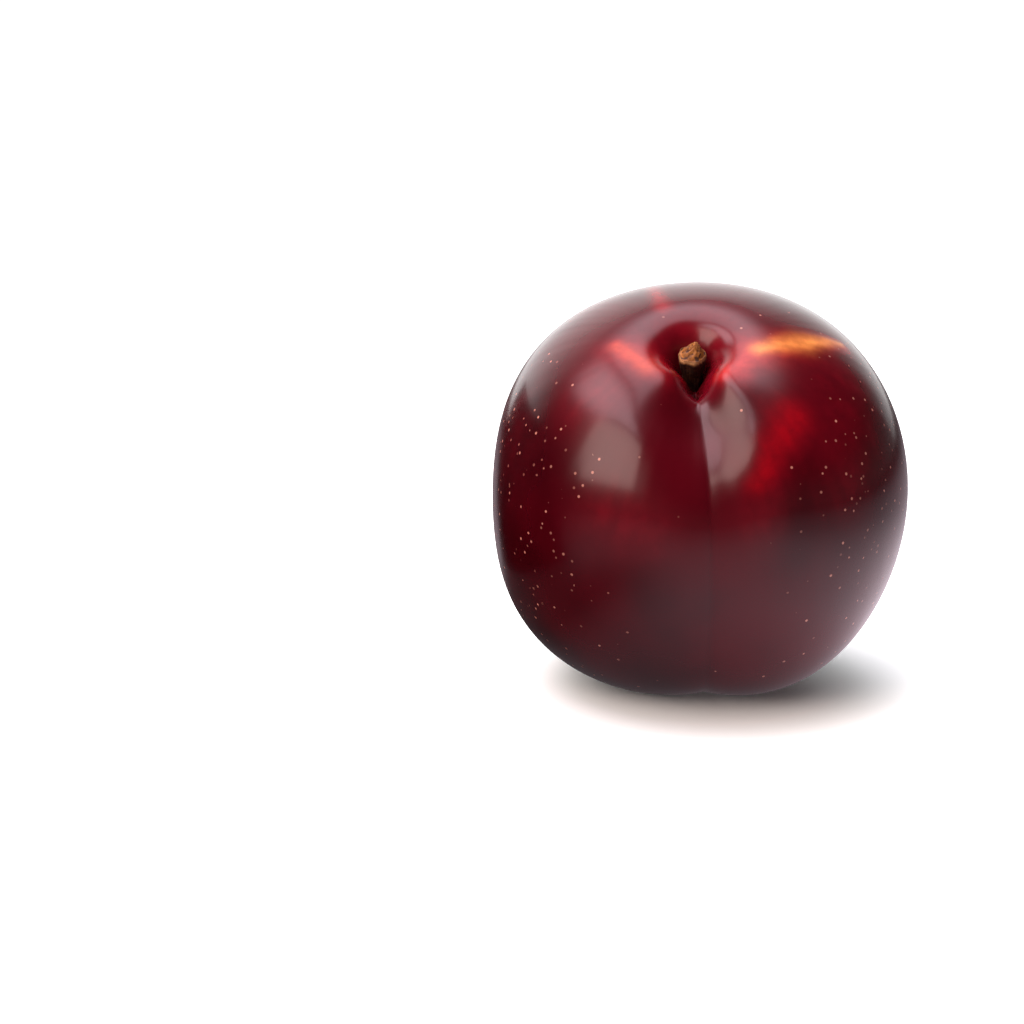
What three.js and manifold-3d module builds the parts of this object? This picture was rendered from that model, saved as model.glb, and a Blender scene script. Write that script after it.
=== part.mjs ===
// A ripe dark plum with the short stub of its stem, resting on the flattened spot of its underside.
//
// Units are millimetres and +Z is up. The suture faces -Y and the stem end leans the same way. The
// origin is on the ground, under the middle of the plum's bounding box.
//
// The skin is one closed surface, worked out from two angles: the polar angle down from the stem, and
// the turn round from the suture. A rounded body with a few gentle swellings carries the valley of the
// suture, the funnel-shaped cavity that the stem stands in, and the dimple of the blossom end.
import * as THREE from "three";
import { mergeVertices } from "three/addons/utils/BufferGeometryUtils.js";
import Module from "manifold-3d";

const wasm = await Module();
wasm.setup();

// The body. Its radius is the mean radius times 1 plus these shares, which follow cos 2, 3 and 4 times
// the polar angle, and cos 2 and 4 times the turn.
const BODY_RADIUS = 29.8;
const SQUASH = -0.0165;
const TAPER = -0.0155;
const SHOULDERS = -0.02;
const OVAL = -0.0105;
const CORNERS = -0.015;

// Gentle swellings and hollows of the cheeks: where each is, how high and how far it spreads.
const SWELLINGS = [
  { polar: 90, turn: 84, height: 0.8, spread: 23 },
  { polar: 131, turn: 30, height: 1.3, spread: 23 },
  { polar: 90, turn: -96, height: -0.95, spread: 23 },
  { polar: 114, turn: -71, height: 1.3, spread: 23 },
  { polar: 165, turn: 180, height: 0.6, spread: 17 },
];

// The suture. Beside the cavity it is a steep valley between the two cheeks, which is cut by a notch where
// it meets the cavity's rim. Further on it is a shallow groove, and a fine crease runs along its bottom all
// the way. Each entry adds depth round one polar angle.
const VALLEY = [
  { polar: 10, spread: 8, depth: 0.9 },
  { polar: 27, spread: 20, depth: 3.1 },
];
const VALLEY_HALF_WIDTH = { atCavity: 1.6, onCheek: 5.4, from: 5, to: 32 };
const VALLEY_FLANK = 2.2;
const GROOVE = [
  { polar: 85, spread: 35, depth: 0.75 },
  { polar: 138, spread: 20, depth: 1.5 },
];
const GROOVE_HALF_WIDTH = 8;
const GROOVE_FLANK = 1.3;
const NOTCH = [{ polar: 7, spread: 7, depth: 4 }];
const NOTCH_HALF_WIDTH = 0.8;
const CREASE = [
  { polar: 30, spread: 18, depth: 0.3 },
  { polar: 85, spread: 70, depth: 0.12 },
  { polar: 135, spread: 20, depth: 0.2 },
];
const CREASE_HALF_WIDTH = 1;
const CREASE_ROUNDING = 0.4;

// The suture bends a little to the left where it runs into the cavity: its turn changes by this angle.
const SUTURE_BEND = { polar: 8, spread: 16, angle: -5 };

// The cavity of the stem end, and the dimple of the blossom end opposite.
const CAVITY_OFFSET = -0.6;
const CAVITY_DEPTH = 13;
const CAVITY_RADIUS = 2;
const CAVITY_FLOOR = { rounding: 1.2, lift: 0.6 };
const DIMPLE_DEPTH = 0.7;
const DIMPLE_RADIUS = 4;

// How the plum lies: turned a little round its own axis, leaning towards -Y, and pressed flat below.
const SUTURE_TURN = 5.2;
const LEAN = 30;
const FLAT_DEPTH = 1.3;

// The stem stub. Its outline gives a radius at each height above its root: a foot that widens into the
// flesh, a narrow neck, and the knob where it broke off, whose end rises to a worn point off its middle.
const STEM_ROOT_HEIGHT = 15;
const STEM_LEAN_BACK = 1;
const STEM_OUTLINE = [
  { height: 0, radius: 1.4 },
  { height: 2.6, radius: 1.5 },
  { height: 5, radius: 1.4 },
  { height: 7.4, radius: 1.45 },
  { height: 9.2, radius: 1.75 },
  { height: 10.2, radius: 1.98 },
  { height: 10.9, radius: 1.82 },
];
const STEM_TIP = { height: 12.5, aside: 0.45, back: 0.45, radius: 0.35, rounding: 0.2 };
const STEM_RIBS = 5;
const STEM_RIB_SHARE = 0.045;
const SOCKET_GAP = 0.3;
const SOCKET_HEIGHT = 8.6;

const SKIN_RINGS = 54;
const SKIN_SIDES = 66;
const STEM_SIDES = 30;

const { degToRad, radToDeg, smoothstep, lerp } = THREE.MathUtils;

/** A bell curve of height 1 round its centre. */
function bell(value, centre, spread) {
  return Math.exp(-(((value - centre) / spread) ** 2));
}

/** The depth that a list of bells adds up to at a polar angle in degrees. */
function depthAt(bells, polar) {
  return bells.reduce((sum, one) => sum + one.depth * bell(polar, one.polar, one.spread), 0);
}

/** How deep the suture is at a polar angle in degrees, at a distance away from its bottom. */
function sutureDepth(polar, away) {
  const { atCavity, onCheek, from, to } = VALLEY_HALF_WIDTH;
  const halfWidth = lerp(atCavity, onCheek, smoothstep(polar, from, to));
  const valley = depthAt(VALLEY, polar) * Math.exp(-((away / halfWidth) ** VALLEY_FLANK));
  const groove = depthAt(GROOVE, polar) * Math.exp(-((away / GROOVE_HALF_WIDTH) ** GROOVE_FLANK));
  const notch = depthAt(NOTCH, polar) * Math.exp(-away / NOTCH_HALF_WIDTH);
  const crease = depthAt(CREASE, polar) * Math.exp(-away / CREASE_HALF_WIDTH);
  return valley + groove + notch + crease;
}

/** How far the swellings lift the skin in one direction. */
function swellingAt(polar, turn) {
  return SWELLINGS.reduce((sum, swelling) => {
    const centre = degToRad(swelling.polar);
    const across = Math.sin(polar) * Math.sin(centre) * Math.cos(turn - degToRad(swelling.turn));
    const closeness = across + Math.cos(polar) * Math.cos(centre) - 1;
    return sum + swelling.height * Math.exp(closeness / degToRad(swelling.spread) ** 2);
  }, 0);
}

/** The point of the skin at a polar angle and a turn, both in radians, with the stem end up. */
function skinPoint(polar, turn) {
  const sine = Math.sin(polar);
  const lengthwise = SQUASH * Math.cos(2 * polar) + TAPER * Math.cos(3 * polar);
  const profile = lengthwise + SHOULDERS * Math.cos(4 * polar);
  const plan = OVAL * sine ** 2 * Math.cos(2 * turn) + CORNERS * sine ** 4 * Math.cos(4 * turn);
  const body = BODY_RADIUS * (1 + profile + plan) + swellingAt(polar, turn);

  const bend = SUTURE_BEND.angle * bell(radToDeg(polar), SUTURE_BEND.polar, SUTURE_BEND.spread);
  const aside = body * sine * Math.sin(turn - degToRad(bend));
  const ahead = body * sine * Math.cos(turn);
  const away = Math.hypot(aside, CREASE_ROUNDING) - CREASE_ROUNDING;
  const radius = body - sutureDepth(radToDeg(polar), away) * smoothstep(ahead, -1, 6);

  const x = radius * sine * Math.sin(turn);
  const y = -radius * sine * Math.cos(turn);
  const z = radius * Math.cos(polar);
  const fromStem = Math.hypot(x - CAVITY_OFFSET, y, CAVITY_FLOOR.rounding) - CAVITY_FLOOR.lift;
  const cavity = CAVITY_DEPTH * Math.exp(-fromStem / CAVITY_RADIUS);
  const dimple = DIMPLE_DEPTH * bell(Math.hypot(x, y), 0, DIMPLE_RADIUS);
  const upper = smoothstep(z, -5, 5);
  return new THREE.Vector3(x, y, z - cavity * upper + dimple * (1 - upper));
}

/**
 * A closed surface of rings from one pole to the other. pointAt gives the point of a ring and a side,
 * each as a share from 0 to 1, and the first and last rings shrink to one point.
 */
function closedSurface(rings, sides, pointAt) {
  const points = [pointAt(0, 0)];
  for (let ring = 1; ring < rings; ring++) {
    for (let side = 0; side < sides; side++) points.push(pointAt(ring / rings, side / sides));
  }
  points.push(pointAt(1, 0));

  const last = points.length - 1;
  const index = (ring, side) => 1 + (ring - 1) * sides + (side % sides);
  const faces = [];
  for (let side = 0; side < sides; side++) {
    faces.push(0, index(1, side), index(1, side + 1));
    for (let ring = 1; ring < rings - 1; ring++) {
      const [upper, upperNext] = [index(ring, side), index(ring, side + 1)];
      const [lower, lowerNext] = [index(ring + 1, side), index(ring + 1, side + 1)];
      faces.push(upper, lower, lowerNext, upper, lowerNext, upperNext);
    }
    faces.push(last, index(rings - 1, side + 1), index(rings - 1, side));
  }
  return new THREE.BufferGeometry().setFromPoints(points).setIndex(faces);
}

/** A geometry with its shared vertices merged, as a solid that can be joined and cut. */
function solidOf(geometry) {
  geometry.deleteAttribute("normal");
  geometry.deleteAttribute("uv");
  const merged = mergeVertices(geometry);
  const vertProperties = merged.attributes.position.array;
  const triVerts = new Uint32Array(merged.index.array);
  return new wasm.Manifold(new wasm.Mesh({ numProp: 3, vertProperties, triVerts }));
}

/** A solid as a geometry for a mesh. */
function geometryOf(solid) {
  const { vertProperties, triVerts } = solid.getMesh();
  const geometry = new THREE.BufferGeometry();
  geometry.setAttribute("position", new THREE.BufferAttribute(vertProperties, 3));
  geometry.setIndex(new THREE.BufferAttribute(triVerts, 1));
  geometry.computeVertexNormals();
  return geometry;
}

/** The whole skin with the stem end up. Rings crowd at the cavity, and sides crowd at the suture. */
function skinSurface() {
  return closedSurface(SKIN_RINGS, SKIN_SIDES, (down, round) => {
    const polar = Math.PI * lerp(down, down ** 2, 0.6);
    const fromSuture = 2 * round - 1;
    const turn = Math.PI * lerp(fromSuture, fromSuture ** 3, 0.55);
    return skinPoint(polar, turn);
  });
}

/** The stem's radius at a height above its root, eased between the points of its outline. */
function stemRadius(height) {
  const above = STEM_OUTLINE.findIndex((point) => point.height >= height);
  if (above < 1) return STEM_OUTLINE[0].radius;
  const low = STEM_OUTLINE[above - 1];
  const high = STEM_OUTLINE[above];
  return lerp(low.radius, high.radius, smoothstep(height, low.height, high.height));
}

/** The stem on its own axis with its root at the origin: the worn end, the ribbed stub, the flat root. */
function stemSurface() {
  const rim = STEM_OUTLINE.at(-1).height;
  const levels = [rim, 10.6, 10.2, 9.8, 9.2, 8.4, 7.4, 6.2, 5, 3.8, 2.6, 1.3, 0];
  const rings = levels.length + 2;
  return closedSurface(rings, STEM_SIDES, (along, round) => {
    const ring = Math.round(along * rings);
    const turn = 2 * Math.PI * round;
    if (ring === 0) return new THREE.Vector3(STEM_TIP.aside, STEM_TIP.back, STEM_TIP.height);
    if (ring === rings) return new THREE.Vector3(0, 0, 0);
    if (ring === 1) {
      const x = STEM_TIP.aside + STEM_TIP.radius * Math.cos(turn);
      const y = STEM_TIP.back + STEM_TIP.radius * Math.sin(turn);
      return new THREE.Vector3(x, y, STEM_TIP.height - STEM_TIP.rounding);
    }
    const height = levels[ring - 2];
    const radius = stemRadius(height) * (1 + STEM_RIB_SHARE * Math.cos(STEM_RIBS * turn));
    return new THREE.Vector3(radius * Math.cos(turn), radius * Math.sin(turn), height);
  });
}

/** The plain round hole that the stem's root sits in, a little wider than the root all round. */
function socketSurface() {
  const radius = Math.max(...STEM_OUTLINE.slice(0, 4).map((point) => point.radius)) * (1 + STEM_RIB_SHARE);
  const wide = radius + SOCKET_GAP;
  const profile = [[0, -SOCKET_GAP], [wide, -SOCKET_GAP], [wide, SOCKET_HEIGHT], [0, SOCKET_HEIGHT]];
  const outline = profile.map(([x, y]) => new THREE.Vector2(x, y));
  return new THREE.LatheGeometry(outline, STEM_SIDES).rotateX(Math.PI / 2);
}

// From the plum's own axis, with the stem end up, to the way it lies, standing on the ground.
const lying = new THREE.Matrix4()
  .makeRotationX(degToRad(LEAN))
  .multiply(new THREE.Matrix4().makeRotationZ(degToRad(SUTURE_TURN)));
const skin = skinSurface().applyMatrix4(lying);
skin.computeBoundingBox();
const middle = skin.boundingBox.getCenter(new THREE.Vector3());
const toGround = new THREE.Vector3(-middle.x, -middle.y, -skin.boundingBox.min.z - FLAT_DEPTH);
skin.translate(...toGround);

// The weight of the plum has pressed its lowest part flat.
const skinPoints = skin.attributes.position;
for (let point = 0; point < skinPoints.count; point++) {
  skinPoints.setZ(point, Math.max(skinPoints.getZ(point), 0));
}

const stemPlace = new THREE.Matrix4()
  .makeTranslation(...toGround)
  .multiply(lying)
  .multiply(new THREE.Matrix4().makeTranslation(CAVITY_OFFSET, 0, STEM_ROOT_HEIGHT))
  .multiply(new THREE.Matrix4().makeRotationX(degToRad(-STEM_LEAN_BACK)));
const stem = stemSurface().applyMatrix4(stemPlace);
const socket = socketSurface().applyMatrix4(stemPlace);

const plum = new THREE.Group();

const fruitMesh = new THREE.Mesh(
  geometryOf(solidOf(skin).subtract(solidOf(socket))),
  new THREE.MeshStandardMaterial({ color: 0x4a0a16, roughness: 0.3, metalness: 0 }),
);
fruitMesh.name = "fruit";
plum.add(fruitMesh);

const stemMesh = new THREE.Mesh(
  geometryOf(solidOf(stem)),
  new THREE.MeshStandardMaterial({ color: 0x6e431d, roughness: 0.85, metalness: 0 }),
);
stemMesh.name = "stem";
plum.add(stemMesh);

export default plum;
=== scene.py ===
# A ripe dark plum with its short stem stub, lying on a white sweep in soft studio light.
import math

import bpy
import numpy as np
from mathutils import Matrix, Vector


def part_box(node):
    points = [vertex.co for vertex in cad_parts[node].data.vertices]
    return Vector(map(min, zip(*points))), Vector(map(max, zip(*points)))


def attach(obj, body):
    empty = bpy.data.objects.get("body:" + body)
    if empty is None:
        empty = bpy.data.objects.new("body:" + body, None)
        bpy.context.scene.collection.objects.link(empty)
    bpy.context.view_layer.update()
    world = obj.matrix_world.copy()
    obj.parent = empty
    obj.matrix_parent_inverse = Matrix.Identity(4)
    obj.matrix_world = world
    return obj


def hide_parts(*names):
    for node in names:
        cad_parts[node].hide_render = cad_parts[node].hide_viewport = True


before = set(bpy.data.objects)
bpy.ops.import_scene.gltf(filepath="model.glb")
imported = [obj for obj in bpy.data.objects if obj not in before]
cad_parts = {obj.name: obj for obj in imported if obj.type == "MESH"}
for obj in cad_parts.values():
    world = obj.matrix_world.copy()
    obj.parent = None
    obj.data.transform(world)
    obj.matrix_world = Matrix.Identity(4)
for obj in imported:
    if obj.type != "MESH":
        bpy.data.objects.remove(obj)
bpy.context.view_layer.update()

# The plum: one grown piece of skin and flesh. A rounded body carries gentle swellings, the valley of the
# suture, the funnel-shaped cavity that the stem grows out of, and the dimple of the blossom end. The
# sizes are in millimetres and are those of the solid, whose skin this one follows more finely.
MM = 0.001
BODY_RADIUS = 29.8
SQUASH, TAPER, SHOULDERS = -0.0165, -0.0155, -0.02
OVAL, CORNERS = -0.0105, -0.015
SWELLINGS = [  # polar angle, turn, height, spread
    (90, 84, 0.8, 23),
    (131, 30, 1.3, 23),
    (90, -96, -0.95, 23),
    (114, -71, 1.3, 23),
    (165, 180, 0.6, 17),
]
VALLEY = [(10, 8, 0.9), (27, 20, 3.1)]  # polar angle, spread, depth, as for the other parts of the suture
VALLEY_HALF_WIDTHS, VALLEY_OPENS, VALLEY_FLANK = (1.6, 5.4), (5, 32), 2.2
GROOVE = [(85, 35, 0.75), (138, 20, 1.5)]
GROOVE_HALF_WIDTH, GROOVE_FLANK = 8.0, 1.3
NOTCH, NOTCH_HALF_WIDTH = [(7, 7, 4.0)], 0.8
CREASE = [(30, 18, 0.3), (85, 70, 0.12), (135, 20, 0.2)]
CREASE_HALF_WIDTH, CREASE_ROUNDING = 1.0, 0.4
BEND_POLAR, BEND_SPREAD, BEND_ANGLE = 8, 16, math.radians(-5)
SUTURE_STARTS = (-1.0, 6.0)
CAVITY_OFFSET, CAVITY_DEPTH, CAVITY_RADIUS = -0.6, 13.0, 2.0
CAVITY_ROUNDING, CAVITY_LIFT = 1.2, 0.6
DIMPLE_DEPTH, DIMPLE_RADIUS = 0.7, 4.0
EQUATOR_BLEND = (-5.0, 5.0)
SUTURE_TURN = math.radians(5.2)
LEAN = math.radians(30)
FLAT_DEPTH, FLAT_EDGE = 1.3, 0.25
SKIN_RINGS, SKIN_SIDES = 250, 370
EVEN_SHARE = 0.45  # of the grid's steps; the rest draws its lines towards the stem and the suture
POLE_ANGLE = 1e-6


def bell(value, centre, spread):
    """A bell curve of height 1: e to the minus square of the distance from its centre over its spread."""
    return np.exp(-(((value - centre) / spread) ** 2))


def ease(value, low, high):
    """0 below low, 1 above high, and the smooth cubic 3u^2 - 2u^3 between them."""
    u = np.clip((value - low) / (high - low), 0, 1)
    return u * u * (3 - 2 * u)


def bells_at(bells, polar):
    """The depth that a list of bells adds up to at a polar angle in degrees."""
    return sum(depth * bell(polar, centre, spread) for centre, spread, depth in bells)


def closeness(polar, turn, centre_polar, centre_turn):
    """The cosine of the angle between two directions, less 1: 0 where they meet, and negative away."""
    p, t = math.radians(centre_polar), math.radians(centre_turn)
    return np.sin(polar) * math.sin(p) * np.cos(turn - t) + np.cos(polar) * math.cos(p) - 1


def skin_points(polar, turn):
    """The skin in mm with the stem end up, at a polar angle down from the stem and a turn from the suture.

    radius = body * (1 + low waves of the two angles) + swellings - suture, and the cavity then lowers z by
    depth * exp(-distance from the stem / radius), while the dimple raises z at the other end.
    """
    degrees = np.degrees(polar)
    sine = np.sin(polar)
    profile = SQUASH * np.cos(2 * polar) + TAPER * np.cos(3 * polar) + SHOULDERS * np.cos(4 * polar)
    plan = OVAL * sine**2 * np.cos(2 * turn) + CORNERS * sine**4 * np.cos(4 * turn)
    body = BODY_RADIUS * (1 + profile + plan)
    for centre, centre_turn, height, spread in SWELLINGS:
        near = closeness(polar, turn, centre, centre_turn)
        body = body + height * np.exp(near / math.radians(spread) ** 2)

    bend = BEND_ANGLE * bell(degrees, BEND_POLAR, BEND_SPREAD)
    away = np.hypot(body * sine * np.sin(turn - bend), CREASE_ROUNDING) - CREASE_ROUNDING
    narrow, wide = VALLEY_HALF_WIDTHS
    half_width = narrow + (wide - narrow) * ease(degrees, *VALLEY_OPENS)
    suture = bells_at(VALLEY, degrees) * np.exp(-((away / half_width) ** VALLEY_FLANK))
    suture = suture + bells_at(GROOVE, degrees) * np.exp(-((away / GROOVE_HALF_WIDTH) ** GROOVE_FLANK))
    suture = suture + bells_at(NOTCH, degrees) * np.exp(-away / NOTCH_HALF_WIDTH)
    suture = suture + bells_at(CREASE, degrees) * np.exp(-away / CREASE_HALF_WIDTH)
    radius = body - suture * ease(body * sine * np.cos(turn), *SUTURE_STARTS)

    x = radius * sine * np.sin(turn)
    y = -radius * sine * np.cos(turn)
    z = radius * np.cos(polar)
    from_stem = np.sqrt((x - CAVITY_OFFSET) ** 2 + y**2 + CAVITY_ROUNDING**2) - CAVITY_LIFT
    cavity = CAVITY_DEPTH * np.exp(-from_stem / CAVITY_RADIUS)
    dimple = DIMPLE_DEPTH * bell(np.hypot(x, y), 0, DIMPLE_RADIUS)
    upper = ease(z, *EQUATOR_BLEND)
    return np.stack([x, y, z - cavity * upper + dimple * (1 - upper)], axis=-1)


def turned(points, angle, axis):
    """Points turned about the X or Z axis through the origin."""
    c, s = math.cos(angle), math.sin(angle)
    matrices = {"X": [[1, 0, 0], [0, c, -s], [0, s, c]], "Z": [[c, -s, 0], [s, c, 0], [0, 0, 1]]}
    return points @ np.array(matrices[axis]).T


def lying(points):
    """Points of the plum with its stem end up, turned the way it lies, still round the plum's middle."""
    return turned(turned(points, SUTURE_TURN, "Z"), LEAN, "X")


def grid_faces(rings, sides):
    """Quads between the rings of a tube grid, wound so that they face out when the rings go down."""
    ring, side = np.meshgrid(np.arange(rings - 1), np.arange(sides), indexing="ij")
    after = (side + 1) % sides
    here, below = ring * sides, (ring + 1) * sides
    corners = [here + side, below + side, below + after, here + after]
    return np.stack(corners, axis=-1).reshape(-1, 4).tolist()


def closed_mesh(name, top, rings, bottom):
    """A mesh in metres from mm points: one top point, a grid of rings going down, and one bottom point."""
    count, sides = rings.shape[:2]
    points = np.vstack([rings.reshape(-1, 3), top, bottom]) * MM
    side = np.arange(sides)
    after = (side + 1) % sides
    last = (count - 1) * sides
    caps = [(count * sides, a, b) for a, b in zip(side.tolist(), after.tolist())]
    caps += [(count * sides + 1, last + b, last + a) for a, b in zip(side.tolist(), after.tolist())]
    mesh = bpy.data.meshes.new(name)
    mesh.from_pydata(points.tolist(), [], grid_faces(count, sides) + caps)
    mesh.shade_smooth()
    return mesh


def add_piece(name, mesh):
    """An object at the origin that shows the mesh."""
    piece = bpy.data.objects.new(name, mesh)
    bpy.context.scene.collection.objects.link(piece)
    return piece


down = (np.arange(1, SKIN_RINGS) / SKIN_RINGS)[:, None]
round_share = (2 * np.arange(SKIN_SIDES) / SKIN_SIDES - 1)[None, :]
polar_grid, turn_grid = np.broadcast_arrays(
    math.pi * (EVEN_SHARE * down + (1 - EVEN_SHARE) * down**2),
    math.pi * (EVEN_SHARE * round_share + (1 - EVEN_SHARE) * round_share**3),
)
skin = lying(skin_points(polar_grid, turn_grid))
pole_angles = (POLE_ANGLE, math.pi - POLE_ANGLE)
stem_pole, blossom_pole = (lying(skin_points(np.array(angle), np.array(0.0))) for angle in pole_angles)

# The solid's box says where the plum stands: over its middle. Its lowest skin would reach below the ground,
# where its weight presses it flat: z becomes (z + sqrt(z^2 + edge^2)) / 2, which has a soft edge.
box_low, box_high = (np.array(corner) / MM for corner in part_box("fruit"))
skin_low, skin_high = skin.min(axis=(0, 1)), skin.max(axis=(0, 1))
place = (box_low + box_high) / 2 - (skin_low + skin_high) / 2
place[2] = -(skin_low[2] + FLAT_DEPTH)
skin = skin + place
skin[..., 2] = (skin[..., 2] + np.hypot(skin[..., 2], FLAT_EDGE)) / 2

fruit_mesh = closed_mesh("plum_skin", stem_pole + place, skin, blossom_pole + place)
fruit = add_piece("plum_skin", fruit_mesh)
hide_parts("fruit")
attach(fruit, "root")


def put_attribute(mesh, name, grid, top, bottom):
    """A value at every point of a closed mesh: the grid's values, then those of its two end points."""
    attribute = mesh.attributes.new(name, "FLOAT", "POINT")
    attribute.data.foreach_set("value", np.append(grid.ravel(), [top, bottom]).astype(np.float32))


def stroke(points, start, end, start_width, end_width):
    """A soft stroke on the skin, from one place to another given as polar angle and turn in degrees.

    It is a bell of the distance from the straight line between the two, over a half-width in mm that
    changes evenly from the start's to the end's.
    """
    a, b = (lying(skin_points(np.radians(p), np.radians(t))) + place for p, t in (start, end))
    along = np.clip(((points - a) @ (b - a)) / ((b - a) @ (b - a)), 0, 1)
    distance = np.linalg.norm(points - (a + along[..., None] * (b - a)), axis=-1)
    return bell(distance / (start_width + (end_width - start_width) * along), 0, 1)


# Strokes painted into the skin's colour: amber on the right shoulder beside the cavity, ember on the
# left one, coral and scarlet round them, each partly the skin's own lighter colour there and partly a
# painted glow of light shining through the thin flesh at the rim; a cherry blush on the cheeks; and painted
# shade that makes the left side nearly black. Every stroke is its start, its end and its half-width at
# each.
GLOWS = {
    "amber": [((17, 81), (30, 96), 1.1, 1.7), ((30, 96), (44, 104), 1.7, 0.5)],
    "ember": [((22, -96), (16, -62), 1.1, 1.5)],
    "coral": [((13, 36), (17, 78), 1.5, 3.0), ((17, 78), (44, 103), 3.0, 1.5)],
    "scarlet": [
        ((35, 43), (47, 17), 2.8, 1.5),
        ((12, 22), (17, 42), 0.9, 1.6),
        ((10, -30), (14, -80), 1.1, 2.4),
        ((20, -156), (36, -164), 1.3, 0.9),
        ((22, -94), (13, -56), 2.2, 2.6),
    ],
    "blush": [
        ((42, 80), (56, 48), 7.0, 6.0),
        ((55, -31), (58, -20), 4.5, 4.0),
        ((34, -63), (24, -80), 5.0, 5.0),
        ((36, 42), (56, 16), 4.2, 3.0),
        ((100, 110), (70, 160), 9.0, 9.0),
        ((60, -140), (90, -120), 7.0, 9.0),
    ],
    # Painted shade: the left side made nearly black.
    "painted_dark_side": [((52, -82), (100, -72), 9.0, 8.0)],
}
CAVITY_SPREAD, ROOT_SPREAD, SCAR_SPREAD = 15, 6.5, 2.2
STREAKS, STREAK_TURNS, STREAK_DRIFT, STREAKS_OPEN = 16, (18, 70), (-5, 5), (14, 40)
SKIN_SEED = 5
SUTURE_LINE_WIDTH, SUTURE_LINE_ROUNDING = 0.5, 0.15
SUTURE_LINE_SIDE, SUTURE_LINE_OPENS = (0, 0.2), (12, 30)
CHEEKS_START, CHEEKS_POWER, DOTS_OPEN = 0.62, 4, (28, 55)


def strongest(strokes):
    """The largest of several strokes at every point of the skin."""
    return np.max([stroke(skin, *one) for one in strokes], axis=0)


def rough_waves(turn, height, waves, turns, heights, seed):
    """Seeded waves round and along a grown piece, added up and scaled to about -1 to 1."""
    draw = np.random.default_rng(seed)
    total = 0
    for _ in range(waves):
        phase = draw.uniform(0, 2 * math.pi)
        round_count = draw.integers(*turns)
        along = draw.uniform(*heights)
        total = total + np.sin(round_count * turn + along * height + phase)
    return total / math.sqrt(waves)


polar_degrees = np.degrees(polar_grid)
for glow_name, strokes in GLOWS.items():
    put_attribute(fruit_mesh, glow_name, strongest(strokes), 0, 0)
put_attribute(fruit_mesh, "cavity", bell(polar_degrees, 0, CAVITY_SPREAD), 1, 0)
# Near-black painted shade deep in the cavity, round the stem's root.
put_attribute(fruit_mesh, "root", bell(polar_degrees, 0, ROOT_SPREAD), 1, 0)
put_attribute(fruit_mesh, "scar", bell(180 - polar_degrees, 0, SCAR_SPREAD), 0, 1)
skin_waves = rough_waves(turn_grid, polar_grid, STREAKS, STREAK_TURNS, STREAK_DRIFT, SKIN_SEED)
put_attribute(fruit_mesh, "streaks", skin_waves * ease(polar_degrees, *STREAKS_OPEN), 0, 0)
suture_distance = np.hypot(BODY_RADIUS * np.sin(polar_grid) * np.sin(turn_grid), SUTURE_LINE_ROUNDING)
suture_line = np.exp(-(suture_distance - SUTURE_LINE_ROUNDING) / SUTURE_LINE_WIDTH)
suture_line = suture_line * ease(np.cos(turn_grid), *SUTURE_LINE_SIDE)
suture_line = suture_line * ease(polar_degrees, *SUTURE_LINE_OPENS)
put_attribute(fruit_mesh, "suture", suture_line, 0, 0)
cheeks = 1 - np.exp(-((np.abs(np.sin(turn_grid)) / CHEEKS_START) ** CHEEKS_POWER))
put_attribute(fruit_mesh, "dots", cheeks * ease(polar_degrees, *DOTS_OPEN), 0, 0)


class Nodes:
    """A node tree built by short calls: that of a given group, or else of one new material."""

    def __init__(self, name, group=None):
        if group:
            self.tree = group
            return
        self.material = bpy.data.materials.new(name)
        self.material.use_nodes = True
        self.tree = self.material.node_tree
        self.shader = self.tree.nodes["Principled BSDF"]

    def add(self, kind, settings=None, **inputs):
        """A node with its settings, and its inputs set to a value or linked to a socket."""
        node = self.tree.nodes.new(kind)
        for key, value in (settings or {}).items():
            setattr(node, key, value)
        for key, value in inputs.items():
            self.set(node.inputs[key.replace("_", " ")], value)
        return node

    def set(self, socket, value):
        """Links a socket to another, or gives it a value."""
        if isinstance(value, bpy.types.NodeSocket):
            self.tree.links.new(value, socket)
        else:
            socket.default_value = value

    def math(self, operation, *values):
        """The result of a Math node."""
        node = self.tree.nodes.new("ShaderNodeMath")
        node.operation = operation
        for socket, value in zip(node.inputs, values):
            self.set(socket, value)
        return node.outputs[0]

    def product(self, first, *others):
        """Values multiplied together, one after another."""
        for other in others:
            first = self.math("MULTIPLY", first, other)
        return first

    def step(self, value, low, high, out_low=0.0, out_high=1.0):
        """A smooth step from out_low to out_high as the value goes from low to high."""
        node = self.add("ShaderNodeMapRange", {"interpolation_type": "SMOOTHSTEP"}, Value=value)
        for socket, limit in zip(list(node.inputs)[1:5], (low, high, out_low, out_high)):
            self.set(socket, limit)
        return node.outputs[0]

    def mix(self, share, low, high):
        """A colour between two, by a share from 0 to 1."""
        node = self.tree.nodes.new("ShaderNodeMix")
        node.data_type = "RGBA"
        for socket, value in zip((node.inputs[0], node.inputs[6], node.inputs[7]), (share, low, high)):
            self.set(socket, value)
        return node.outputs[2]

    def placed(self, group, **inputs):
        """The output of a node group that is placed here with its own values."""
        return self.add("ShaderNodeGroup", {"node_tree": group}, **inputs).outputs[0]

    def value_of(self, name):
        """The value of a named attribute of the mesh."""
        return self.add("ShaderNodeAttribute", {"attribute_name": name}).outputs["Fac"]

    def finish(self, **inputs):
        """Sets the shader's own sockets and returns the material."""
        for key, value in inputs.items():
            self.set(self.shader.inputs[key.replace("_", " ")], value)
        return self.material


def colour(red, green, blue):
    """A linear colour with full alpha."""
    return (red, green, blue, 1.0)


def new_group(name, inputs, output):
    """A shader node group with named number inputs and one output: its Nodes and its input sockets."""
    group = bpy.data.node_groups.new(name, "ShaderNodeTree")
    for label in inputs:
        group.interface.new_socket(label, in_out="INPUT", socket_type="NodeSocketFloat")
    group.interface.new_socket(output, in_out="OUTPUT", socket_type="NodeSocketFloat")
    nodes = Nodes(name, group)
    return nodes, nodes.add("NodeGroupInput").outputs


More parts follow.
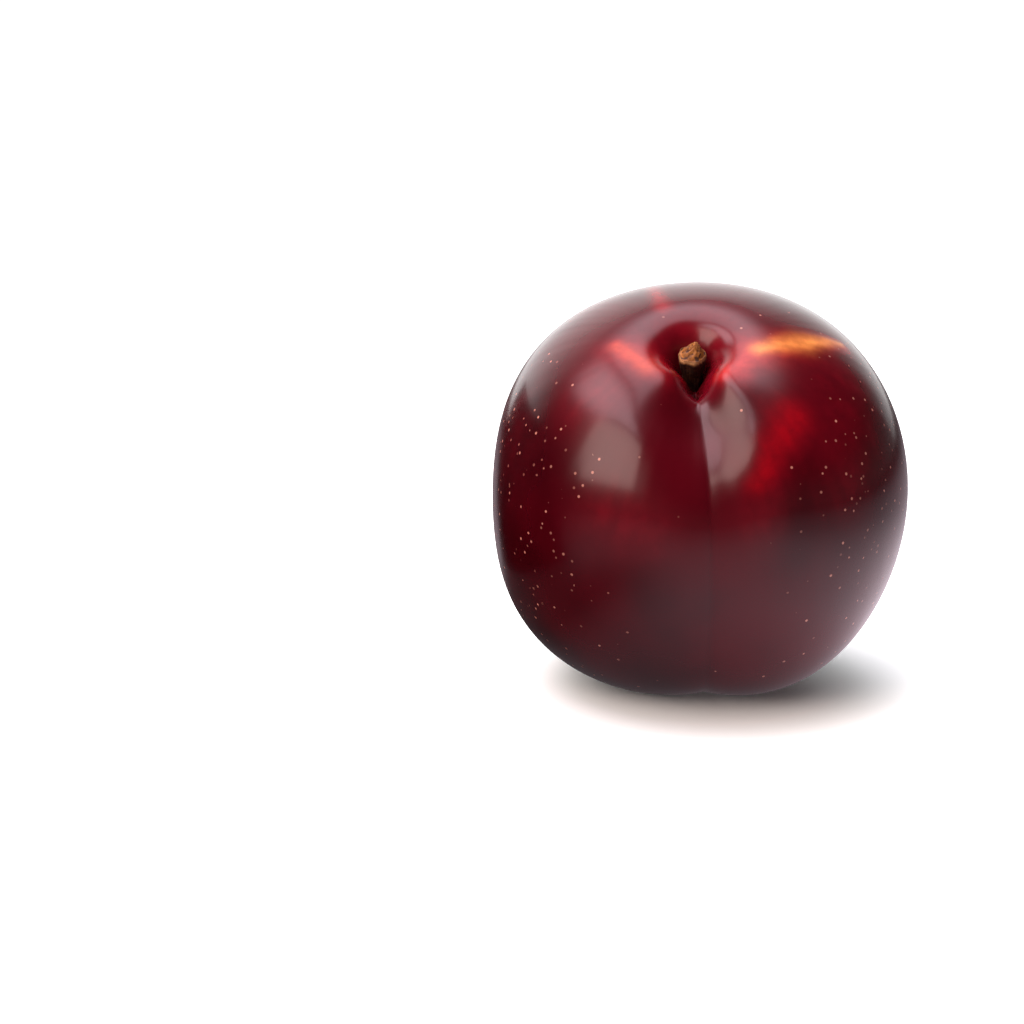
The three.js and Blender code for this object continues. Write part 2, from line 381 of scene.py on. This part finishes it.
# What a grown surface has, skin and wood alike: cloudy unevenness, from 0 to 1, in the piece's own space.
clouds, given = new_group("clouds", ("Scale", "Detail", "Roughness"), "Share")
own_space = clouds.add("ShaderNodeTexCoord").outputs["Object"]
cloud_inputs = {label: given[label] for label in ("Scale", "Detail", "Roughness")}
cloud_share = clouds.add("ShaderNodeTexNoise", Vector=own_space, **cloud_inputs).outputs[0]
clouds.add("NodeGroupOutput", Share=cloud_share)

# The skin: a thin waxy film over flesh that is nearly black-red in the shade, with wine and cherry
# patches, faint streaks from the stem end down, fine pale pores on the cheeks, and a dry brown scar at the
# blossom end.
PATCH_SCALE, MOTTLE_SCALE, GRAIN_SCALE = 55.0, 420.0, 2600.0  # clouds per metre
DARK_FLESH, WINE_FLESH = colour(0.040, 0.0003, 0.0030), colour(0.085, 0.0006, 0.0055)
LAYERS = [  # attribute, strength, colour
    # Painted shade that darkens the left side.
    ("painted_dark_side", 0.85, colour(0.016, 0.0002, 0.0015)),
    ("blush", 0.75, colour(0.170, 0.0022, 0.0100)),
    ("cavity", 0.80, colour(0.330, 0.0060, 0.0200)),
    # These four are partly the skin's own colour and partly a painted glow of light through the thin flesh.
    ("scarlet", 0.80, colour(0.360, 0.0020, 0.0080)),
    ("coral", 0.80, colour(0.620, 0.0280, 0.0200)),
    ("ember", 0.60, colour(0.800, 0.1000, 0.0300)),
    ("amber", 0.95, colour(1.000, 0.4200, 0.0900)),
    # Painted shade, near black, deep in the cavity round the stem's root.
    ("root", 0.95, colour(0.012, 0.0010, 0.0008)),
]
SUTURE_TONE, SUTURE_STRENGTH = colour(0.02, 0.0005, 0.003), 0.15
PORE_TONE, SCAR_TONE = colour(0.62, 0.27, 0.20), colour(0.10, 0.045, 0.02)
PORE_CELL = 1.35 * MM
PORE_CORE, PORE_EDGE = 0.10, 0.19  # shares of a cell
PORES_BARE, PORES_CHEEK = 0.04, 0.85  # the shares of the cells that have a pore
PORE_FAINTEST = 0.25
SMOOTHEST, ROUGHEST = 0.235, 0.268
GRAIN_HEIGHT, STREAK_HEIGHT = 0.05 * MM, 0.012 * MM
GRAIN_STRENGTH, STREAK_STRENGTH = 0.05, 0.4

skin_nodes = Nodes("plum_skin")
patches = skin_nodes.placed(clouds.tree, Scale=PATCH_SCALE, Detail=2.0, Roughness=0.45)
mottle = skin_nodes.placed(clouds.tree, Scale=MOTTLE_SCALE, Detail=3.0, Roughness=0.6)
grain = skin_nodes.placed(clouds.tree, Scale=GRAIN_SCALE, Detail=1.0, Roughness=0.5)
streaks = skin_nodes.value_of("streaks")
flesh = skin_nodes.mix(skin_nodes.step(patches, 0.32, 0.68), DARK_FLESH, WINE_FLESH)
unevenness = skin_nodes.product(
    skin_nodes.step(mottle, 0.3, 0.75, 0.6, 1.0), skin_nodes.step(streaks, -1.2, 1.2, 0.75, 1.0)
)
for layer, strength, tone in LAYERS:
    cover = skin_nodes.product(skin_nodes.value_of(layer), unevenness, strength)
    flesh = skin_nodes.mix(cover, flesh, tone)
suture_cover = skin_nodes.product(skin_nodes.value_of("suture"), SUTURE_STRENGTH)
flesh = skin_nodes.mix(suture_cover, flesh, SUTURE_TONE)

# Each pore is a little ball round a cell's point, cut by the skin, so that pores differ in size.
on_skin = skin_nodes.add("ShaderNodeTexCoord").outputs["Object"]
pores = skin_nodes.add("ShaderNodeTexVoronoi", Vector=on_skin, Scale=1 / PORE_CELL)
chance = skin_nodes.add("ShaderNodeSeparateColor", Color=pores.outputs["Color"])
pore_share = skin_nodes.step(skin_nodes.value_of("dots"), 0, 1, PORES_BARE, PORES_CHEEK)
wanted = skin_nodes.math("LESS_THAN", chance.outputs[0], pore_share)
pore = skin_nodes.step(pores.outputs["Distance"], PORE_CORE, PORE_EDGE, 1.0, 0.0)
paleness = skin_nodes.step(chance.outputs[1], 0, 1, PORE_FAINTEST, 1.0)
flesh = skin_nodes.mix(skin_nodes.product(pore, wanted, paleness), flesh, PORE_TONE)
flesh = skin_nodes.mix(skin_nodes.value_of("scar"), flesh, SCAR_TONE)

bump = "ShaderNodeBump"
skin_grain = skin_nodes.add(bump, Strength=GRAIN_STRENGTH, Distance=GRAIN_HEIGHT, Height=grain).outputs[0]
skin_relief = skin_nodes.add(
    bump, Strength=STREAK_STRENGTH, Distance=STREAK_HEIGHT, Height=streaks, Normal=skin_grain
).outputs[0]
fruit_mesh.materials.append(
    skin_nodes.finish(
        Base_Color=flesh,
        Roughness=skin_nodes.step(patches, 0.3, 0.7, SMOOTHEST, ROUGHEST),
        Normal=skin_relief,
        IOR=1.36,
        Coat_Weight=0.15,
        Coat_Roughness=0.08,
        Coat_IOR=1.4,
    )
)

# The stem: a short stub of dry woody stalk that grows out of the cavity's floor. It widens to a knob
# where it broke from the twig, and its broken end is a golden brown, pitted cone.
STEM_ROOT_HEIGHT = 15.0
STEM_LEAN_BACK = math.radians(1)
STEM_HEIGHTS = [0, 2.6, 5, 7.4, 9.2, 10.2, 10.9]
STEM_RADII = [1.4, 1.5, 1.4, 1.45, 1.75, 1.98, 1.82]
STEM_TIP, STEM_TIP_RADIUS, STEM_TIP_ROUNDING = np.array([0.45, 0.45, 12.5]), 0.35, 0.2
STEM_RIBS, STEM_RIB_SHARE = 5, 0.045
STEM_SIDES, STEM_SIDE_RINGS, STEM_END_RINGS = 180, 150, 60
WOOD_SEED = 11
FIBRES, FIBRE_TURNS, FIBRE_DRIFT, FIBRE_HEIGHT = 7, (14, 34), (-1.2, 1.2), 0.035
LUMPS, LUMP_TURNS, LUMP_DRIFT, LUMP_HEIGHT = 6, (2, 8), (-2.5, 2.5), 0.05
PITS, PIT_TURNS, PIT_DRIFT, PIT_DEPTH, PIT_STRETCH = 9, (2, 9), (-3, 3), 0.09, 9
CONE_SHARE, CONE_SPREAD, CONE_RISE = 0.75, 0.95, 1.1
TIP_REACH, TIP_POWER = 0.97, 1.5
HOLLOW_DEPTH, HOLLOW_PLACE, HOLLOW_SPREAD = 0.22, 0.16, 0.1
GOLD_FROM, GOLD_TO = 10.2, 10.7
RIM_LINE_END, RIM_LINE_SIDE = 0.08, 0.2


def eased_between(value, places, amounts):
    """Amounts at given places, joined by smooth cubic steps."""
    result = np.full(np.shape(value), float(amounts[0]))
    for low, high, start, end in zip(places, places[1:], amounts, amounts[1:]):
        result = result + (end - start) * ease(value, low, high)
    return result


stem_turn = (2 * math.pi * np.arange(STEM_SIDES) / STEM_SIDES)[None, :]
side_height = np.linspace(STEM_HEIGHTS[-1], 0, STEM_SIDE_RINGS)[:, None]
side_radius = eased_between(side_height, STEM_HEIGHTS, STEM_RADII)
side_radius = side_radius * (1 + STEM_RIB_SHARE * np.cos(STEM_RIBS * stem_turn))
fibres = rough_waves(stem_turn, side_height, FIBRES, FIBRE_TURNS, FIBRE_DRIFT, WOOD_SEED)
lumps = rough_waves(stem_turn, side_height, LUMPS, LUMP_TURNS, LUMP_DRIFT, WOOD_SEED + 1)
side_radius = side_radius + FIBRE_HEIGHT * fibres + LUMP_HEIGHT * lumps
stem_side = np.stack(
    [side_radius * np.cos(stem_turn), side_radius * np.sin(stem_turn), side_height + 0 * stem_turn], axis=-1
)

# The broken end climbs from the rim to a worn tip beside its middle, with a hollow just inside the rim. It
# is the rim's ring drawn over, by a smooth share, to a small ring below the tip, and that ring to the tip.
climb = np.linspace(0, 1, STEM_END_RINGS + 1)[1:, None]
rim = stem_side[:1]
tip = STEM_TIP - np.array([0, 0, STEM_TIP_ROUNDING])
tip_ring = tip + STEM_TIP_RADIUS * np.stack([np.cos(stem_turn), np.sin(stem_turn), 0 * stem_turn], axis=-1)
pole_ring = STEM_TIP[None, None, :]
to_tip = ease(climb, 0, CONE_SHARE)[..., None]
cone = np.concatenate([to_tip**CONE_SPREAD, to_tip**CONE_SPREAD, to_tip**CONE_RISE], axis=-1)
stem_end = rim * (1 - cone) + tip_ring * cone
to_pole = (np.clip((climb - CONE_SHARE) / (1 - CONE_SHARE), 0, TIP_REACH) ** TIP_POWER)[..., None]
stem_end = stem_end * (1 - to_pole) + pole_ring * to_pole
pits = rough_waves(stem_turn, PIT_STRETCH * climb, PITS, PIT_TURNS, PIT_DRIFT, WOOD_SEED + 2)
stem_end[..., 2] += PIT_DEPTH * pits * np.sin(math.pi * climb)
stem_end[..., 2] -= HOLLOW_DEPTH * bell(climb, HOLLOW_PLACE, HOLLOW_SPREAD)
stem_rings = np.concatenate([stem_end[::-1], stem_side])


def on_plum(points):
    """Points of the stem on its own axis, root at the origin, put where it stands in the lying plum."""
    upright = turned(points, -STEM_LEAN_BACK, "X") + np.array([CAVITY_OFFSET, 0, STEM_ROOT_HEIGHT])
    return lying(upright) + place


stem_mesh = closed_mesh("stem_stub", on_plum(pole_ring[0, 0]), on_plum(stem_rings), on_plum(np.zeros(3)))
stem = add_piece("stem_stub", stem_mesh)
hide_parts("stem")
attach(stem, "root")
end_share = np.concatenate([np.ones((STEM_END_RINGS, 1)), ease(side_height, GOLD_FROM, GOLD_TO)])
put_attribute(stem_mesh, "end", end_share + 0 * stem_turn, 1, 0)
put_attribute(stem_mesh, "pit", np.concatenate([pits[::-1], 0.4 * fibres + 0.4 * lumps]), 0, 0)
rim_line = np.concatenate([bell(climb[::-1], 0, RIM_LINE_END), bell(side_height, GOLD_TO, RIM_LINE_SIDE)])
put_attribute(stem_mesh, "rim", rim_line + 0 * stem_turn, 0, 0)

# The stem's wood: nearly black bark, and a golden broken end with dark spots and painted shade in its pits,
# inside a pale rim.
WOOD_GRAIN_SCALE, WOOD_SPOT_SCALE = 1500.0, 900.0
DARK_BARK, BROWN_BARK = colour(0.012, 0.004, 0.002), colour(0.06, 0.022, 0.008)
DARK_GOLD, PALE_GOLD = colour(0.11, 0.036, 0.006), colour(0.37, 0.145, 0.024)
PIT_SHADE_TONE, SPOT_TONE = colour(0.05, 0.016, 0.006), colour(0.04, 0.014, 0.005)
RIM_TONE, RIM_STRENGTH = colour(0.62, 0.38, 0.18), 0.6
stem_nodes = Nodes("stem_bark")
fibre = stem_nodes.placed(clouds.tree, Scale=WOOD_GRAIN_SCALE, Detail=3.0, Roughness=0.65)
spots = stem_nodes.placed(clouds.tree, Scale=WOOD_SPOT_SCALE, Detail=2.0, Roughness=0.5)
bark = stem_nodes.mix(stem_nodes.step(fibre, 0.35, 0.7), DARK_BARK, BROWN_BARK)
gold = stem_nodes.mix(stem_nodes.step(fibre, 0.3, 0.65), DARK_GOLD, PALE_GOLD)
# Painted shade in the end's pits: darker where its surface dips deepest.
gold = stem_nodes.mix(stem_nodes.step(stem_nodes.value_of("pit"), -0.5, -1.3), gold, PIT_SHADE_TONE)
gold = stem_nodes.mix(stem_nodes.step(spots, 0.6, 0.68), gold, SPOT_TONE)
wood = stem_nodes.mix(stem_nodes.value_of("end"), bark, gold)
wood = stem_nodes.mix(stem_nodes.product(stem_nodes.value_of("rim"), RIM_STRENGTH), wood, RIM_TONE)
wood_bump = stem_nodes.add(bump, Strength=0.5, Distance=0.08 * MM, Height=fibre).outputs[0]
stem_mesh.materials.append(stem_nodes.finish(Base_Color=wood, Roughness=0.6, Normal=wood_bump, IOR=1.45))

# The camera looks along +Y from 13 degrees above the ground, six plum widths away. The middle pixel is
# where the middle of the plum's body stands in a picture of 1024 pixels, across and down.
PICTURE = 1024
PLUM_PIXELS, PLUM_WIDTH = 413, 0.060
MIDDLE_PIXEL = (694.2, 492.0)
ELEVATION = math.radians(13)
DISTANCE = 6 * PLUM_WIDTH
SENSOR, CLIP_START = 36.0, 0.01
focal_pixels = PLUM_PIXELS * DISTANCE / PLUM_WIDTH
right_of_centre, above_centre = MIDDLE_PIXEL[0] - PICTURE / 2, PICTURE / 2 - MIDDLE_PIXEL[1]
ray = math.sqrt(right_of_centre**2 + above_centre**2 + focal_pixels**2)
yaw = math.asin(right_of_centre / (ray * math.cos(ELEVATION)))
pitch = math.atan2(math.sin(ELEVATION), math.cos(ELEVATION) * math.cos(yaw))
pitch += math.atan(above_centre / focal_pixels)
plum_middle = Vector(place * MM)
camera = bpy.data.objects.new("camera", bpy.data.cameras.new("camera"))
bpy.context.scene.collection.objects.link(camera)
camera.data.sensor_width = SENSOR
camera.data.lens = SENSOR * focal_pixels / PICTURE
camera.data.clip_start = CLIP_START
camera.location = plum_middle + DISTANCE * Vector((0, -math.cos(ELEVATION), math.sin(ELEVATION)))
camera.rotation_euler = (math.pi / 2 - pitch, 0, yaw)
bpy.context.scene.camera = camera

# The floor: a white sweep whose own glow stands in for much of its light. The lens sees it lit, and made
# white by a painted glow that runs it on into the backdrop and fades to painted shade round the plum's
# foot, over its real shadow. The skin sees a near-black sweep with another painted glow: painted shade at
# the plum's foot and on the left, a painted pool of light to the right that fades with distance, and a
# faint painted haze further off on the left. Its limits are in metres.
FLOOR_HALF = 1.2
LENS_GLOW = (0.014, 0.044, 0.04, 0.85)  # from, to, glow there and there, as for the other steps
MIDDLE_GLOW = (-0.032, 0.006, 0.04, 1.15)
RIGHT_GLOW = (0.0, 0.060, 0.0, 0.8)
FOOT_SHADE = (0.010, 0.040, 0.15, 1.0)
NEAR_FADE = (0.010, 0.15, 0.60, 0.0)
FAR_FADE = (0.03, 0.50, 0.28, 0.0)
HAZE_RISE, HAZE_FADE = (0.040, 0.080, 0.0, 0.4), (0.08, 0.50, 1.0, 0.0)
HAZE_SIDE, HAZE_LEFT = (-0.97, -0.70, 0.0, 1.0), (-0.03, 0.01, 1.0, 0.0)
GLOW_TINT = (1.075, 0.925, 1.025)
# The lens's sweep is tinted cool against the warm lamps; the skin's is near black, so it sees mostly the
# painted glow.
LENS_BASE, SKIN_BASE = colour(0.84, 0.96, 0.955), colour(0.02, 0.02, 0.02)
floor_mesh = bpy.data.meshes.new("floor")
floor_corners = [(x * FLOOR_HALF, y * FLOOR_HALF, 0) for x, y in ((-1, -1), (1, -1), (1, 1), (-1, 1))]
floor_mesh.from_pydata(floor_corners, [], [(0, 1, 2, 3)])
floor = add_piece("floor", floor_mesh)
floor_nodes = Nodes("white_sweep")
on_floor = floor_nodes.add("ShaderNodeTexCoord").outputs["Object"]
across = floor_nodes.add("ShaderNodeSeparateXYZ", Vector=on_floor).outputs["X"]
length = floor_nodes.add("ShaderNodeVectorMath", {"operation": "LENGTH"})
floor_nodes.set(length.inputs[0], on_floor)
distance = length.outputs["Value"]
sideways = floor_nodes.math("DIVIDE", across, distance)
to_lens = floor_nodes.add("ShaderNodeLightPath").outputs["Is Camera Ray"]
lens_glow = floor_nodes.step(distance, *LENS_GLOW)
near_glow = floor_nodes.product(
    floor_nodes.math("ADD", floor_nodes.step(across, *MIDDLE_GLOW), floor_nodes.step(across, *RIGHT_GLOW)),
    floor_nodes.step(distance, *FOOT_SHADE),
    floor_nodes.math("ADD", floor_nodes.step(distance, *NEAR_FADE), floor_nodes.step(distance, *FAR_FADE)),
)
left_haze = floor_nodes.product(
    floor_nodes.step(distance, *HAZE_RISE),
    floor_nodes.step(distance, *HAZE_FADE),
    floor_nodes.step(sideways, *HAZE_SIDE),
    floor_nodes.step(across, *HAZE_LEFT),
)
skin_glow = floor_nodes.add("ShaderNodeVectorMath", {"operation": "SCALE"})
floor_nodes.set(skin_glow.inputs[0], GLOW_TINT)
floor_nodes.set(skin_glow.inputs["Scale"], floor_nodes.math("ADD", near_glow, left_haze))
floor_mesh.materials.append(
    floor_nodes.finish(
        Base_Color=floor_nodes.mix(to_lens, SKIN_BASE, LENS_BASE),
        Roughness=0.8,
        Specular_IOR_Level=0.0,
        Emission_Color=floor_nodes.mix(to_lens, skin_glow.outputs[0], lens_glow),
        Emission_Strength=1.0,
    )
)


# The lights: a warm softbox at the front left, a large, cooler one overhead, and one between them that
# fades over more of its width and joins the two. They share one group: the radiance times, across and
# along, a smooth fade from the inner side of the edge to the rim.
soft_edge, given = new_group("soft_edge", ("Edge", "Radiance"), "Glow")
edge_starts = soft_edge.math("SUBTRACT", 1.0, given["Edge"])
sides = [soft_edge.math("ABSOLUTE", soft_edge.value_of(attribute)) for attribute in ("across", "along")]
fades = [soft_edge.step(side, edge_starts, 1.0, 1.0, 0.0) for side in sides]
soft_edge.add("NodeGroupOutput", Glow=soft_edge.product(*fades, given["Radiance"]))


def add_softbox(name, azimuth, elevation, distance, width, height, radiance, tint, edge):
    """A rectangular softbox that faces the plum and fades over its edge, a share of its half-width.

    The azimuth is 0 towards the lens and grows to the right of the picture, in degrees like the elevation.
    """
    around, up = math.radians(azimuth), math.radians(elevation)
    towards = np.array([math.sin(around) * math.cos(up), -math.cos(around) * math.cos(up), math.sin(up)])
    right = np.array([math.cos(around), math.sin(around), 0])
    above = np.cross(right, -towards)
    corners = [(-1, -1), (1, -1), (1, 1), (-1, 1)]
    centre = np.array(plum_middle) + towards * distance
    points = [centre + right * width / 2 * u + above * height / 2 * v for u, v in corners]
    mesh = bpy.data.meshes.new(name)
    mesh.from_pydata([point.tolist() for point in points], [], [(0, 1, 2, 3)])
    for attribute, column in (("across", 0), ("along", 1)):
        values = [corner[column] for corner in corners]
        mesh.attributes.new(attribute, "FLOAT", "POINT").data.foreach_set("value", values)
    softbox = add_piece(name, mesh)
    softbox.visible_camera = False
    nodes = Nodes(name)
    glow = nodes.placed(soft_edge.tree, Edge=edge, Radiance=radiance)
    mesh.materials.append(
        nodes.finish(
            Base_Color=colour(0, 0, 0),
            Specular_IOR_Level=0.0,
            Emission_Color=colour(*tint),
            Emission_Strength=glow,
        )
    )


add_softbox("softbox_front_left", -42, 35, 0.6, 0.48, 0.50, 7.0, (1.0, 0.74, 0.68), 0.3)
add_softbox("softbox_overhead", -150, 80, 0.7, 0.76, 0.78, 4.8, (1.0, 0.80, 0.88), 0.6)
add_softbox("softbox_upper_left", -70, 62, 0.65, 0.80, 0.34, 7.0, (1.0, 0.78, 0.84), 0.6)

# A black flag at the left keeps the white of the sweep off that side of the skin.
FLAG_X, FLAG_FRONT, FLAG_BACK, FLAG_TOP = -0.055, -0.036, 0.037, 0.055
flag_mesh = bpy.data.meshes.new("flag")
flag_corners = [(FLAG_BACK, 0), (FLAG_BACK, FLAG_TOP), (FLAG_FRONT, FLAG_TOP), (FLAG_FRONT, 0)]
flag_mesh.from_pydata([(FLAG_X, y, z) for y, z in flag_corners], [], [(0, 1, 2, 3)])
flag = add_piece("flag", flag_mesh)
flag.visible_camera = flag.visible_shadow = flag.visible_diffuse = False
black_cloth = Nodes("black_cloth").finish(Base_Color=colour(0.0, 0.0, 0.0), Specular_IOR_Level=0.0)
flag_mesh.materials.append(black_cloth)

# The room: a white wall behind the plum, dark in front, with a faint haze just above the ground that is
# missing at the far left, and plain white to the lens.
WALL_TOWARDS = (-0.26, 0.96, 0.1)
WALL_LIMITS = (0.55, 0.85, 0.02, 1.8)  # from, to, radiance there and there
HAZE_HEIGHT, HAZE_ACROSS = (0.0, 0.35, 0.12, 0.0), (-0.95, -0.60, 0.0, 1.0)
BACKDROP_RADIANCE = 1.1
world = bpy.data.worlds.new("studio")
bpy.context.scene.world = world
world.use_nodes = True
tree = world.node_tree
tree.nodes.clear()


def faded(value, *limits):
    """An even change from one number to another as the value goes from a low to a high limit."""
    node = tree.nodes.new("ShaderNodeMapRange")
    tree.links.new(value, node.inputs["Value"])
    for socket, number in zip(list(node.inputs)[1:5], limits):
        socket.default_value = number
    return node.outputs[0]


direction = tree.nodes.new("ShaderNodeTexCoord").outputs["Generated"]
facing = tree.nodes.new("ShaderNodeVectorMath")
facing.operation = "DOT_PRODUCT"
facing.inputs[1].default_value = WALL_TOWARDS
tree.links.new(direction, facing.inputs[0])
parts_of = tree.nodes.new("ShaderNodeSeparateXYZ")
tree.links.new(direction, parts_of.inputs[0])
radiance = tree.nodes.new("ShaderNodeMath")
radiance.operation = "MULTIPLY_ADD"
tree.links.new(faded(parts_of.outputs["Z"], *HAZE_HEIGHT), radiance.inputs[0])
tree.links.new(faded(parts_of.outputs["X"], *HAZE_ACROSS), radiance.inputs[1])
tree.links.new(faded(facing.outputs["Value"], *WALL_LIMITS), radiance.inputs[2])
room, backdrop = (tree.nodes.new("ShaderNodeBackground") for _ in range(2))
for background in (room, backdrop):
    background.inputs["Color"].default_value = colour(1, 1, 1)
tree.links.new(radiance.outputs[0], room.inputs["Strength"])
backdrop.inputs["Strength"].default_value = BACKDROP_RADIANCE
seen = tree.nodes.new("ShaderNodeLightPath")
either = tree.nodes.new("ShaderNodeMixShader")
out = tree.nodes.new("ShaderNodeOutputWorld")
tree.links.new(seen.outputs["Is Camera Ray"], either.inputs[0])
tree.links.new(room.outputs[0], either.inputs[1])
tree.links.new(backdrop.outputs[0], either.inputs[2])
tree.links.new(either.outputs[0], out.inputs[0])
bpy.context.scene.view_settings.view_transform = "Standard"
